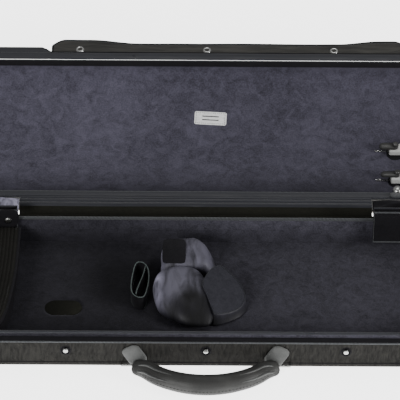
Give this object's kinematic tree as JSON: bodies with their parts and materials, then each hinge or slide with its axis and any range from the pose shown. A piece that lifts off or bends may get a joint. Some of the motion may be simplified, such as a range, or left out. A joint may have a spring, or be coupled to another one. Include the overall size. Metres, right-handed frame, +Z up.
{
  "type": "violin case",
  "caption": "Oblong violin case with arched lid, zip, storm flap, plush lining, neck cradle, bow holders and carrying handle, lying open.",
  "frame": {"origin": "centre of the base's underside", "axes": "+X along the case to the right, +Y towards the hinge and the open lid, +Z up"},
  "size_m": [0.818, 0.6838, 0.0957],
  "materials": {
    "ballistic_cloth": "coarse matt woven nylon",
    "board": "laminated board, hidden",
    "label": "light woven label",
    "leatherette": "black grained leatherette",
    "nickel": "polished nickel",
    "plush": "short dark plush",
    "soft_plastic": "satin moulded plastic",
    "trim": "light grey corded trim",
    "velvet": "soft velvet",
    "webbing": "black woven tape"
  },
  "bodies": {
    "base": {"base_bottom_panel": "ballistic_cloth", "base_cover": "ballistic_cloth", "base_hinge_piping": "trim", "base_lining": "plush", "base_shell": "board", "base_valance": "trim", "base_zip_coil": "trim", "base_zip_tape": "webbing", "compartment_divider": "webbing", "cradle_front_lobe": "velvet", "cradle_ramp": "velvet", "cradle_rear_lobe": "velvet", "floor_pad": "plush", "handle_loop_left": "nickel", "handle_loop_right": "nickel", "handle_patch_left": "leatherette", "handle_patch_right": "leatherette", "hinge_gusset_left": "velvet", "hinge_gusset_right": "velvet", "hinge_strip": "leatherette", "hook_patch": "webbing", "rear_pocket_left": "velvet", "rear_pocket_right": "velvet", "snap_stud_left": "nickel", "snap_stud_middle": "nickel", "snap_stud_right": "nickel"},
    "lid": {"bow_seat_front": "soft_plastic", "bow_seat_rear": "soft_plastic", "bow_tip_sleeve_front": "velvet", "bow_tip_sleeve_rear": "velvet", "flap_binding": "webbing", "lid_hinge_piping": "trim", "lid_lining": "velvet", "lid_roof_cover": "ballistic_cloth", "lid_shell": "board", "lid_side_cover": "ballistic_cloth", "lid_zip_coil": "trim", "lid_zip_tape": "webbing", "owner_label": "label"},
    "storm_flap": {"flap_snap_left": "nickel", "flap_snap_middle": "nickel", "flap_snap_right": "nickel", "storm_flap": "ballistic_cloth", "zip_gusset": "webbing"},
    "handle": {"handle_grip": "leatherette", "handle_strap_left": "leatherette", "handle_strap_right": "leatherette"},
    "compartment_lid": {"compartment_lid": "velvet"},
    "pocket_tab": {"pocket_tab": "webbing", "pocket_tab_snap": "nickel"},
    "neck_strap": {"neck_strap": "webbing"},
    "bow_spinner_front": {"bow_spinner_cap_front": "soft_plastic", "bow_spinner_front": "soft_plastic"},
    "bow_spinner_rear": {"bow_spinner_cap_rear": "soft_plastic", "bow_spinner_rear": "soft_plastic"},
    "zip_slider_left": {"zip_slider_left": "nickel"},
    "zip_slider_right": {"zip_slider_right": "nickel"},
    "zip_pull_left": {"zip_pull_left": "nickel"},
    "zip_pull_right": {"zip_pull_right": "nickel"}
  },
  "joints": [
    {"name": "lid_hinge", "type": "hinge", "parent": "base", "child": "lid", "pos_m": [0, 0.1553, 0.0442], "axis": [1, 0, 0], "range_deg": [0, 170.26], "deforming": ["hinge_strip", "hinge_gusset_left", "hinge_gusset_right"]},
    {"name": "flap_fold", "type": "hinge", "parent": "lid", "child": "storm_flap", "pos_m": [0, 0.44614, 0.08824], "axis": [1, 0, 0], "range_deg": [0, 90]},
    {"name": "handle_pivot", "type": "hinge", "parent": "base", "child": "handle", "pos_m": [0.002, -0.142, 0.01], "axis": [1, 0, 0], "range_deg": [-64, 60]},
    {"name": "compartment_lid_hinge", "type": "hinge", "parent": "base", "child": "compartment_lid", "pos_m": [-0.3745, 0, 0.0435], "axis": [0, 1, 0], "range_deg": [-95, 0]},
    {"name": "pocket_tab_hinge", "type": "hinge", "parent": "base", "child": "pocket_tab", "pos_m": [-0.275, 0.1101, 0.0725], "axis": [1, 0, 0], "range_deg": [-150, 0]},
    {"name": "neck_strap_tip", "type": "hinge", "parent": "base", "child": "neck_strap", "pos_m": [-0.102, 0.0125, 0.0073], "axis": [0, 1, 0], "range_deg": [-90, 0]},
    {"name": "bow_spinner_turn_front", "type": "hinge", "parent": "lid", "child": "bow_spinner_front", "pos_m": [0.277, 0.32063, 0.01607], "axis": [0, 0.179, -0.9838], "range_deg": [0, 90]},
    {"name": "bow_spinner_turn_rear", "type": "hinge", "parent": "lid", "child": "bow_spinner_rear", "pos_m": [0.277, 0.25735, 0.01163], "axis": [0, -0.0397, -0.9992], "range_deg": [0, 90]},
    {"name": "zip_slide_left", "type": "slide", "parent": "base", "child": "zip_slider_left", "axis": [0, -1, 0], "range_m": [0, 0.185]},
    {"name": "zip_pull_hinge_left", "type": "hinge", "parent": "zip_slider_left", "child": "zip_pull_left", "pos_m": [-0.4082, 0.094, 0.04615], "axis": [0, -1, 0], "range_deg": [-150, 0]},
    {"name": "zip_slide_right", "type": "slide", "parent": "base", "child": "zip_slider_right", "axis": [0, -1, 0], "range_m": [0, 0.185]},
    {"name": "zip_pull_hinge_right", "type": "hinge", "parent": "zip_slider_right", "child": "zip_pull_right", "pos_m": [0.4082, 0.094, 0.04615], "axis": [0, 1, 0], "range_deg": [-150, 0]}
  ]
}
